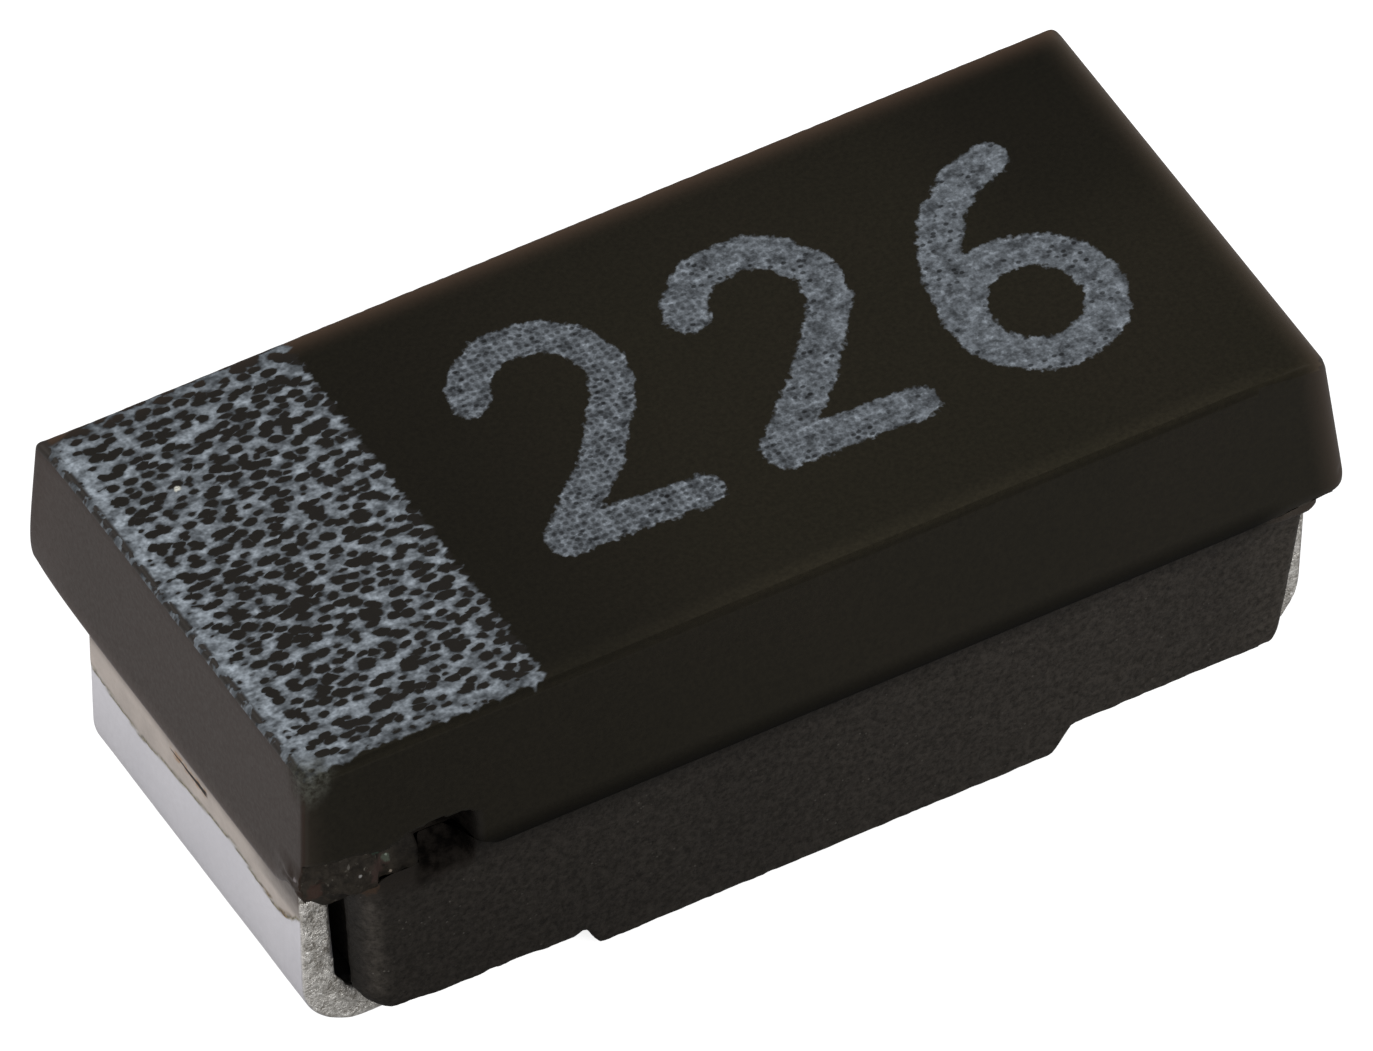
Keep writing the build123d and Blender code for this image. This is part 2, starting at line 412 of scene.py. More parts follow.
def build_case():
    xs = samples([(-1.52, 0.0085), (-1.03, 0.016), (-0.73, 0.008), (-0.64, 0.017), (0.73, 0.008), (0.81, 0.017), (1.52, 0.0)])
    ys = samples([(-0.695, 0.010), (-0.62, 0.019), (0.62, 0.012), (0.695, 0.0)])
    ring = Ring((xs + 1.52) / 3.04, (ys + 0.695) / 1.39)
    u = UPPER
    rows = []

    def upper(z, inset=(0.0, 0.0, 0.0, 0.0)):
        """Loop of the upper half at height z, drawn in by inset on the left, right, near and far sides."""
        t = (z - BASE) / (u["top"] - BASE)
        left, right, near, far = inset
        x0 = -(u["x"] + (u["top_x"] - u["x"]) * t - left)
        x1 = u["right"] + (u["top_right"] - u["right"]) * t - right
        hy = u["y"] + (u["top_y"] - u["y"]) * t
        pairs = ((near, left), (near, right), (far, right), (far, left))
        radii = tuple(np.maximum(r - 0.25 * (p + q), 0.006) for r, (p, q) in zip(UPPER_R, pairs))
        xy = ring.at(x0, x1, -hy + near, hy - far, radii)
        return np.column_stack([xy, z + np.zeros(ring.n)])

    ends = np.clip(np.abs(ring.dx), 0, 1) ** 1.5
    crisp = 0.006 + 0.030 * step(1.30, 1.60, -1.52 + 3.04 * ring.a)  # radius along the near side
    e = u["edge"] - (u["edge"] - crisp) * np.clip(-ring.dy, 0, 1) ** 2
    e = e + (u["right_edge"] - u["edge"]) * np.clip(ring.dx, 0, 1) ** 2
    for k in range(6):  # rounded top edge
        a = math.radians(90 * k / 5)
        f = 1 - math.sin(a)
        rows.append(upper(u["top"] - e * (1 - math.cos(a)), (u["edge"] * f, u["right_edge"] * f, crisp * f, u["edge"] * f)))
    for k in range(1, 10):
        rows.append(upper(u["top"] - e + (BASE + 0.19 - u["top"] + e) * k / 10))
    for z in samples([(-(BASE + 0.19), 0.0085), (-(BASE + 0.028), 0.0)]):
        rows.append(upper(-z))
    soft = 0.012 + 0.015 * ends
    for k in (1, 2, 3, 4):  # parting edge
        a = math.radians(22.5 * k)
        rows.append(upper(BASE + soft * (1 - math.sin(a)), (soft * (1 - math.cos(a)),) * 4))
    rim = rows[-1]
    n_upper = len(rows)
    x0, x1, y0, y1 = lower_outline(BASE)
    foot = np.column_stack([ring.at(x0, x1, y0, y1, LOWER_R), np.full(ring.n, BASE)])
    for t in (0.2, 0.4, 0.6, 0.8, 0.95):  # underside of the overhang
        rows.append(rim + (foot - rim) * t)
    x0, x1, y0, y1 = lower_outline(0.105)
    nominal = ring.at(x0, x1, y0, y1, LOWER_R)
    zb = underside(nominal[:, 0])
    re = 0.018 + (0.078 - 0.018) * ends
    wall = samples([(0.0, 0.020), (0.16, 0.040), (1.0, 0.0)])
    for t in wall[1:]:
        z = BASE - (BASE - zb - re) * t
        x0, x1, y0, y1 = lower_outline(z)
        rows.append(np.column_stack([ring.at(x0, x1, y0, y1, LOWER_R), z]))
    for k in range(1, 6):
        a = math.radians(90 * k / 5)
        z = zb + re * (1 - math.sin(a))
        x0, x1, y0, y1 = lower_outline(z)
        xy = ring.at(x0, x1, y0, y1, LOWER_R)
        inset = re * (1 - math.cos(a))
        rows.append(np.column_stack([xy[:, 0] - ring.dx * inset, xy[:, 1] - ring.dy * inset, z]))
    flat_end = (ring.dx < -0.99) & (ring.b > 0) & (ring.b < 1)  # the case stands clear of the lead between its corners
    for k in range(n_upper + 5, len(rows)):
        rows[k] = rows[k].copy()
        rows[k][flat_end, 0] += 0.030
    top = ring.cap(rows[0])
    bottom = ring.cap(rows[-1])
    bottom[1:-1, 1:-1, 2] = underside(bottom[1:-1, 1:-1, 0])
    verts, quads = closed(ring, rows, top, bottom)
    n_rows = len(rows)
    row = np.concatenate([np.repeat(np.arange(n_rows), ring.n), np.full((ring.nx - 2) * (ring.ny - 2), 0), np.full((ring.nx - 2) * (ring.ny - 2), n_rows - 1)])
    is_upper = row < n_upper
    norm = normals(verts, quads)
    flat = verts.copy()
    x, y, z = flat.T
    h = z - BASE
    caps = np.zeros(2 * (ring.nx - 2) * (ring.ny - 2))
    facing = np.concatenate([np.tile(step(0.30, 0.70, -ring.dy), n_rows), caps])
    near = step(-0.60, -0.66, y) * facing

    # the broken-off gate: the lower rim of the near left corner is gone, and the wall behind it is rough
    corner = step(-1.42, -1.53, x) * step(-0.60, -0.70, y)
    low = 0.046 * corner * (1 + 0.22 * noise(flat, 0.03, 5))
    squeeze = is_upper & (h < 0.12) & (h > -0.001)
    verts[:, 2] += np.where(squeeze, low * (1 - np.clip(h, 0, 0.12) / 0.12), 0)
    roof = np.interp(x, SCAR_TOP[:, 0], SCAR_TOP[:, 1]) + 0.004 * noise(flat, 0.018, 8)
    inside = step(roof + 0.004, roof - 0.006, h) * step(-1.050, -1.066, x) * near
    inside = inside * step(-0.135, -0.05, h)
    grain = fbm(flat, 0.026, 11, 3)
    chunks = np.maximum(0, noise(flat, 0.020, 23)) * 0.014
    shelf = step(-1.375, -1.345, x + 0.006 * grain)  # 0 on the ledge at the corner, 1 on the broken face beside it
    depth = (1 - shelf) * (0.013 - 0.010 * step(0.10, 0.02, h)) + shelf * (0.030 + 0.012 * step(0.0, 0.12, h))
    depth = depth + 0.009 * grain - chunks * (1 - 0.6 * shelf)
    lip = step(0.006, 0.0, np.abs(h - roof + 0.006)) * near * step(-1.06, -1.08, x)
    depth = depth + 0.010 * lip * (1 - shelf)
    hx0 = -1.232 + 0.004 * noise(flat, 0.02, 3)
    hole = step(hx0, hx0 + 0.012, x) * step(-1.058, -1.074, x + 0.20 * np.maximum(0, h - 0.06)) * step(roof, roof - 0.012, h)
    hole = hole * step(-0.085, -0.020, h + 0.02 * noise(flat, 0.03, 31) + 0.10 * (x + 1.15))
    depth = depth * (1 - hole) + hole * (0.130 + 0.008 * grain)
    wall_y = -0.775 + 0.040 * np.clip(h, 0, 1) / 0.473
    target = wall_y + depth
    pushed = np.where(h < 0.012, np.maximum(target, flat[:, 1] + 0.004 * grain), target)
    verts[:, 1] += inside * (pushed - flat[:, 1])

    # crumbs of moulding compound along the ledge and on the lead side of the corner
    nub = step(0.10, 0.03, np.abs(h - 0.075)) * step(-1.33, -1.42, x) * near * is_upper
    verts[:, 1] -= nub * 0.007 * np.maximum(0, noise(flat, 0.016, 41))
    side_nub = step(0.075, 0.03, np.abs(h - 0.085)) * step(-0.60, -0.70, y) * step(-1.56, -1.58, x) * is_upper
    verts[:, 0] -= side_nub * (0.006 + 0.007 * fbm(flat, 0.02, 47, 2))

    # chipped top corner at the near left
    dist = np.linalg.norm(flat - np.array([-1.560, -0.730, 1.150]), axis=1)
    chip = step(0.110, 0.035, dist + 0.02 * noise(flat, 0.03, 61)) * is_upper
    push = chip * (0.008 + 0.007 * fbm(flat, 0.016, 67, 3))
    verts += push[:, None] * np.array([0.62, 0.62, -0.48])

    # fine unevenness: worn top rim, tool-eroded lower half
    rim_band = step(0.028, 0.006, np.abs(z - (u["top"] - 0.008))) * is_upper * (np.abs(norm[:, 2]) < 0.97)
    verts += norm * (rim_band * 0.0014 * fbm(flat, 0.02, 71, 2))[:, None]
    eroded = np.where(is_upper, 0.0, 1.0) * step(0.001, -0.02, h)
    verts += norm * (eroded * (0.0030 * fbm(flat, 0.032, 83, 3) + 0.0012 * noise(flat, 0.3, 89)))[:, None]
    lipz = np.interp(x, [-1.33, -1.245, -1.122, -0.938, -0.74, -0.70], [0.0, 0.004, 0.016, 0.013, 0.024, 0.0])
    lower_edge = step(0.20, 0.11, z) * step(-0.60, -0.68, y)
    verts[:, 2] -= np.where(is_upper, 0, lipz * lower_edge * (1 + 0.25 * noise(flat, 0.04, 97)))
    nick = step(0.020, 0.0, np.linalg.norm(flat - np.array([1.598, -0.755, 0.735]), axis=1))
    verts[:, 0] -= nick * 0.006

    # the near lower rim hangs a little below the parting plane
    lip = step(-0.60, -0.72, y) * step(-1.05, -1.00, x) * (1 - 0.8 * step(1.30, 1.56, x)) * np.where(h > -0.001, step(0.075, 0.0, h), np.exp(-np.maximum(-h, 0) / 0.045) * (z > 0.3))
    verts[:, 2] -= 0.024 * lip

    # a web of moulding flash fills the step under the overhang near the cathode end
    drop = np.maximum(BASE - z, 0)
    below = ~is_upper & (z > 0.3)
    flare = below * step(1.33, 1.41, x + 0.02 * noise(flat, 0.05, 103)) * step(0.082, 0.026, drop + 0.010 * noise(flat, 0.04, 107))
    side = step(-0.60, -0.70, y)
    verts[:, 1] -= flare * side * np.clip(0.026 - np.maximum(0, -0.745 - y), 0, 0.026)
    verts[:, 0] += flare * step(-0.55, -0.72, y) * step(1.44, 1.50, x) * np.clip(0.022 - np.maximum(0, x - 1.515), 0, 0.022)
    web = flare * np.maximum(side, step(-0.55, -0.72, y) * step(1.44, 1.50, x))

    # the far left corner of the upper half is worn round at the parting edge
    worn = np.exp(-(0.775 - y) / 0.12) * np.exp(-np.maximum(z - BASE, 0) / 0.06) * np.exp(-(x + 1.6) / 0.08) * (z > BASE - 0.001)
    verts += worn[:, None] * np.array([0.020, -0.028, 0.024])
    t = np.clip(h, 0, 1) / 0.473
    drawn = is_upper * np.exp(-np.maximum(0.775 - 0.040 * t - y, 0) / 0.08) * np.exp(-np.maximum(x + 1.600 - 0.035 * t, 0) / 0.06)
    verts += drawn[:, None] * np.stack([-0.005 - 0.010 * t, 0.006 * t, 0 * t], 1)

    # stroke distance of the value code on the top
    ink = np.full(len(verts), 1.0)
    on_top = (z > 1.14) & (norm[:, 2] > 0.8)
    ink[on_top] = stroke_distance(flat[on_top, :2])

    # painted highlight: a soft lighter band down the lower half's rounded near left corner, passed on as the corner
    # attribute
    angle = np.degrees(np.arctan2(ring.dy, ring.dx)) % 360
    glow = np.exp(-(((angle - 234) / 18) ** 2))
    corner = np.concatenate([np.tile(glow, n_rows), caps]) * (~is_upper) * step(0.13, 0.20, z)
    gate = inside * (1 - 0.85 * hole)
    # painted shade: the hole of the broken gate is masked here, to be painted near black in both epoxy finishes
    pit = step(-1.250, -1.225, x + 0.010 * grain) * step(-1.050, -1.072, x) * step(roof + 0.004, roof - 0.006, h) * near
    pit_shade = np.clip(pit * step(-0.125, -0.035, h + 0.035 * grain), 0, 1)
    ledge = inside * (1 - shelf)
    face_row = row[quads].max(1)
    skin = np.where(face_row >= n_upper + 2, 1, 0)
    low, away = flat[:, 2][quads].min(1), (flat[:, 0][quads].min(1) > 1.50) & (flat[:, 1][quads].min(1) > -0.70)
    skin[(low > 1.118) | ((low > 1.086) & away)] = 2
    left = np.concatenate([np.tile(step(0.50, 0.80, -ring.dx), n_rows), caps]) * is_upper
    marks = dict(ink=ink, gate=np.clip(gate, 0, 1), pit_shade=pit_shade, ledge=np.clip(ledge, 0, 1), chip=chip, web=web, corner=corner, left=left)
    return verts, quads, skin, marks


def arc(cx, cy, rx, ry, a, b, n=26):
    t = np.radians(np.linspace(a, b, n))
    return np.column_stack([cx + rx * np.cos(t), cy + ry * np.sin(t)])


def digit(kind):
    """Centre-line of one digit in its own box, about 0.40 wide and 0.74 high about its middle."""
    if kind == "2":
        return [np.concatenate([arc(0.0, 0.175, 0.195, 0.195, 168, -38), [(0.02, -0.14), (-0.185, -0.350), (-0.187, -0.372)]]),
                np.array([(-0.190, -0.370), (0.0, -0.366), (0.215, -0.372)])]
    return [np.concatenate([arc(0.19, -0.16, 0.385, 0.53, 98, 180), arc(0.0, -0.175, 0.195, 0.197, 180, 540, 44)])]


def stroke_distance(xy):
    out = np.full(len(xy), 1.0)
    a = math.radians(-2.0)
    rot = np.array([[math.cos(a), math.sin(a)], [-math.sin(a), math.cos(a)]])
    for k, (cx, cy, kind, w, sy) in enumerate([(-0.315, 0.055, "2", 0.058, 1.0), (0.345, 0.045, "2", 0.061, 0.98), (1.010, 0.020, "6", 0.060, 1.0)]):
        for line in digit(kind):
            line = line * np.array([1.0, sy])
            s = np.arange(len(line))
            wob = np.column_stack([np.sin(s * 1.3 + k * 2.1), np.cos(s * 0.9 + k)]) * 0.0035
            pts = (line + wob) @ rot + np.array([cx, cy])
            for p, q in zip(pts[:-1], pts[1:]):
                d = q - p
                L = max(float(d @ d), 1e-12)
                t = np.clip(((xy - p) @ d) / L, 0, 1)
                out = np.minimum(out, np.linalg.norm(xy - p - t[:, None] * d, axis=1) - w)
    return out


# ---------------------------------------------------------------- leads


def bent(points, radii, pitch):
    """Points and unit tangents along a path with rounded corners, in the XZ plane."""
    pts = [np.array(p, float) for p in points]
    runs = [[pts[0]]]
    out = []
    start = pts[0]
    for k in range(1, len(pts) - 1):
        a, b, c = pts[k - 1], pts[k], pts[k + 1]
        u, v = (a - b) / np.linalg.norm(a - b), (c - b) / np.linalg.norm(c - b)
        half = math.acos(np.clip(u @ v, -1, 1)) / 2
        r = radii[k - 1]
        cut = r / math.tan(half)
        p, q = b + u * cut, b + v * cut
        n = max(1, round(np.linalg.norm(p - start) / pitch))
        out += [(start + (p - start) * i / n, -u) for i in range(n)]
        centre = b + (u + v) / np.linalg.norm(u + v) * r / math.sin(half)
        a0 = math.atan2(*(p - centre)[::-1])
        a1 = math.atan2(*(q - centre)[::-1])
        turn = (a1 - a0 + math.pi) % (2 * math.pi) - math.pi
        n = max(4, round(abs(turn) * r / pitch * 1.5))
        for i in range(n):
            t = a0 + turn * i / n
            tangent = np.array([-math.sin(t), math.cos(t)]) * (1 if turn > 0 else -1)
            out.append((centre + r * np.array([math.cos(t), math.sin(t)]), tangent))
        start = q
    d = (pts[-1] - start) / np.linalg.norm(pts[-1] - start)
    n = max(1, round(np.linalg.norm(pts[-1] - start) / pitch))
    out += [(start + (pts[-1] - start) * i / n, d) for i in range(n + 1)]
    return np.array([o[0] for o in out]), np.array([o[1] for o in out])


def build_lead(points, radii, side, seed, tab, tab_radii):
    """side -1: outer faces look to -X (anode); +1: to +X (cathode). tab is the narrower stretch in the moulding."""
    t, wid, er = 0.090, 1.180, 0.012
    path, tan = bent(points, radii, 0.0125)
    ys = samples([(-0.578, 0.010), (-0.53, 0.022), (0.53, 0.010), (0.578, 0.0)])
    vs = np.linspace(0, 1, 8)
    ring = Ring((ys + 0.578) / 1.156, vs)
    rows, frames = [], []

    def loop(p, tg, inset=0.0, wid=wid):
        yn = ring.at(-wid / 2 + inset, wid / 2 - inset, -t / 2 + inset, t / 2 - inset, er - 0.3 * inset)
        nrm = np.array([-tg[1], tg[0]])
        out = np.zeros((ring.n, 3))
        out[:, 0] = p[0] + nrm[0] * yn[:, 1]
        out[:, 2] = p[1] + nrm[1] * yn[:, 1]
        out[:, 1] = yn[:, 0]
        return out

    end, d = path[-1], tan[-1]
    rows = [loop(p, g) for p, g in zip(path[:-1], tan[:-1])]
    rows.append(loop(end - d * 0.0095, d))
    rows.append(loop(end - d * 0.0030, d, 0.0035))
    rows.append(loop(end, d, 0.0100))
    verts, quads = closed(ring, rows, ring.cap(rows[0]), ring.cap(rows[-1]))
    norm = normals(verts, quads)
    mid = rows[len(rows) // 3].mean(0)
    j = np.argmin(np.linalg.norm(verts - (rows[len(rows) // 3][ring.nx // 2]), axis=1))
    if np.dot(norm[j], rows[len(rows) // 3][ring.nx // 2] - mid) < 0:
        quads = quads[:, ::-1].copy()
        norm = -norm
    flat = verts.copy()
    x, y, z = flat.T
    cut = step(0.574, 0.588, np.abs(y)) * step(0.35, 0.75, np.abs(norm[:, 1]))
    cut_end = step(0.5, 0.9, norm[:, 0] * (-side)) * (z < 0.10) * (np.abs(x) < 1.0)
    raw = np.clip(cut + cut_end, 0, 1)
    verts += norm * (raw * (0.0045 * fbm(flat, 0.022, seed, 3) - 0.0015))[:, None]
    verts += norm * ((1 - raw) * (0.0008 * fbm(flat, 0.16, seed + 7, 2) + 0.0004 * fbm(flat, 0.03, seed + 9, 2)))[:, None]
    crease = np.zeros(len(verts))
    hole_shade_and_dark_line = np.zeros(len(verts))
    if side < 0:
        level = np.interp(y, [-0.59, -0.55, -0.497, -0.452, -0.21, 0.092, 0.323, 0.60], [0.468, 0.440, 0.408, 0.398, 0.430, 0.404, 0.376, 0.409])
        outer = step(0.5, 0.9, -norm[:, 0])
        wander = 0.004 * noise(flat, 0.03, seed + 20) + 0.003 * noise(flat, 0.012, seed + 21)
        off = np.abs(z - level - wander)
        crease = outer * step(0.011, 0.002, off)
        above = outer * step(-0.004, 0.010, z - level - wander)
        crumbs = np.maximum(0, noise(flat * np.array([1, 1, 0.6]), 0.013, seed + 22) - 0.15)
        verts[:, 0] -= outer * (step(0.012, 0.0, off) * (0.002 + 0.008 * crumbs) + step(0.0, 0.02, z - level) * 0.0022)
        # a small dent in the near cut edge, painted near black inside as shade by the tin finish
        hole = step(0.030, 0.012, np.hypot(z - 0.555, (x + 1.487) * 1.0)) * step(-0.57, -0.58, y)
        verts[:, 1] += hole * 0.020
        hole_shade_and_dark_line = hole
        # sheared near edge: it spreads inwards lower down, and a burr closes the gap above the foot
        inward = step(0.5, 0.9, norm[:, 0]) * step(-0.50, -0.575, y)
        verts[:, 0] += inward * 0.012 * step(0.50, 0.15, z)
        burr = step(-0.515, -0.560, y) * step(-1.450, -1.415, x) * step(-1.315, -1.345, x) * step(0.5, 0.9, norm[:, 2] + norm[:, 0]) * (z < 0.25)
        verts[:, 2] += burr * (0.020 + 0.020 * np.maximum(0, noise(flat, 0.018, seed + 40)))
        raw = np.clip(raw + burr, 0, 1)
        rust = outer * step(0.016, 0.004, off) * step(-0.30, -0.36, y) * step(-0.56, -0.52, y) * step(-0.2, 0.4, noise(flat, 0.028, seed + 50))
    else:
        rust = above = np.zeros(len(verts))
    marks = dict(cut=raw, crease=np.clip(crease, 0, 1), hole_shade_and_dark_line=np.clip(hole_shade_and_dark_line, 0, 1), rust=np.clip(rust, 0, 1), above=above)
    # the stretch inside the moulding, plain
    path, tan = bent(tab, tab_radii, 0.030)
    end, d = path[-1], tan[-1]
    rows = [loop(p, g, wid=0.800) for p, g in zip(path[:-1], tan[:-1])]
    rows += [loop(end - d * 0.0095, d, wid=0.800), loop(end - d * 0.0030, d, 0.0035, 0.800), loop(end, d, 0.0100, 0.800)]
    more, faces = closed(ring, rows, ring.cap(rows[0]), ring.cap(rows[-1]))
    a, b, c, e = (more[faces[:, k]] - more.mean(0) for k in range(4))
    if ((a + b + c + e) * np.cross(c - a, e - b)).sum() < 0:
        faces = faces[:, ::-1].copy()
    marks = {key: np.concatenate([v, np.zeros(len(more))]) for key, v in marks.items()}
    return np.concatenate([verts, more]), np.concatenate([quads, faces + len(verts)]), marks


# ---------------------------------------------------------------- materials


# painted shade: the near black inside the broken gate's hole
PITCH_BLACK = (0.0024, 0.0020, 0.0018)
# small flecks on the broken corner: place, radius, colour
FLECKS = [
    ((-1.583, -0.772, 0.835), 0.009, (0.160, 0.155, 0.150)),
    ((-1.600, -0.730, 0.790), 0.009, (0.150, 0.130, 0.135)),
    ((-1.368, -0.765, 0.799), 0.012, (0.016, 0.030, 0.020)),
    ((-1.327, -0.765, 0.745), 0.018, (0.040, 0.048, 0.036)),
    ((-1.325, -0.765, 0.752), 0.005, (0.130, 0.150, 0.125)),
    ((-1.285, -0.765, 0.778), 0.006, (0.110, 0.105, 0.095)),
    ((-1.418, -0.765, 0.742), 0.006, (0.170, 0.165, 0.160)),
    ((-1.319, -0.765, 0.694), 0.006, (0.150, 0.125, 0.100)),
    ((-1.156, -0.745, 0.718), 0.005, (0.100, 0.100, 0.095)),
    ((-1.453, -0.765, 0.790), 0.008, (0.060, 0.055, 0.048)),
]
STAINS = [
    ((-1.375, -0.745, 0.634), 0.030, (0.030, 0.0175, 0.0105)),
    ((-1.425, -0.745, 0.668), 0.034, (0.018, 0.0185, 0.0090)),
    ((-1.360, -0.765, 0.735), 0.046, (0.024, 0.0150, 0.0125)),
    ((-1.560, -0.760, 0.760), 0.034, (0.022, 0.012, 0.009)),
]


def spots(m, base, places, near=None):
    """Soft round spots; with near, they are seen along Y and kept to that mask."""
    ragged = m.noise(55, detail=2)
    for where, radius, colour in places:
        n = m.node("ShaderNodeVectorMath", operation="DISTANCE")
        m.t.links.new(m.mm() if near is None else m.stretch(1.0, 0.0, 1.0), n.inputs[0])
        n.inputs[1].default_value = where if near is None else (where[0], 0.0, where[2])
        away = m.add(n.outputs["Value"], m.mul(m.sub(ragged, 0.5), radius * 1.6))
        amount = m.step(away, radius, radius * 0.45)
        base = m.mix(amount if near is None else m.mul(amount, near), base, colour)
    return base


def epoxy_lower(name):
    m = Tree(name)
    x, y, z = m.xyz()
    grain = m.noise(26, detail=3, rough=0.6)
    fine = m.noise(70, detail=2, rough=0.7)
    coarse = m.noise(54, detail=3, rough=0.65)
    broad = m.noise(1.6, detail=1)
    crumb = m.noise(58, detail=2, rough=0.7)
    base = m.mix(m.line(coarse, 0.34, 0.66, 0, 1), (0.0080, 0.0069, 0.0056), (0.0205, 0.0178, 0.0150))
    # painted light: the lower half is tinted lighter towards the cathode end, most at its corner, where more light
    # falls
    side = m.add(m.line(x, -1.3, 0.9, 0.78, 1.26), m.mul(m.step(x, 1.24, 1.46), 0.55))
    base = m.tint(base, m.mul(m.line(broad, 0.3, 0.7, 0.92, 1.10), side))
    speck = m.step(m.voronoi(46), 0.19, 0.07)
    rare = m.step(m.noise(13, detail=1), 0.56, 0.68)
    base = m.mix(m.mul(speck, rare, 0.50), base, (0.078, 0.072, 0.064))
    base = m.tint(base, m.blend(m.step(fine, 0.44, 0.34), 1.0, 0.62))
    # painted highlight on the rounded near left corner
    base = m.tint(base, m.add(1.0, m.mul(m.attr("corner"), 1.9)))
    # shade close under the overhang, filled with smooth flash at the cathode end
    web = m.attr("web")
    shade = m.mul(m.line(z, 0.662, 0.640, 0.20, 0.42), m.line(z, 0.640, 0.565, 1.0, 2.4))
    base = m.tint(base, m.blend(m.step(web, 0.05, 0.45), shade, 1.0))
    base = m.mix(m.mul(m.step(web, 0.10, 0.80), 0.80), base, (0.0300, 0.0235, 0.0180))
    gate, pit_shade = m.attr("gate"), m.attr("pit_shade")
    base = m.mix(m.mul(gate, 0.6), base, (0.0110, 0.0085, 0.0065))
    base = spots(m, base, STAINS[:2], m.step(y, -0.60, -0.66))
    # painted shade: near black inside the broken gate's hole
    base = m.mix(m.mul(pit_shade, 0.95), base, m.mix(m.line(m.noise(30, detail=3), 0.40, 0.62, 0, 1), PITCH_BLACK, (0.0090, 0.0075, 0.0064)))
    rough = m.blend(pit_shade, m.line(grain, 0.3, 0.7, 0.58, 0.72), 1.0)
    m.put(m.mul(m.sub(1.0, m.mul(pit_shade, 0.95)), 0.14), m.bsdf.inputs["Specular IOR Level"])
    bump = m.bump(m.add(m.mul(grain, 0.7), m.mul(fine, 0.5)), 0.0000065, 1.0)
    return m.out(base, rough, None, bump, Specular_Tint=(1.0, 0.93, 0.84, 1.0))


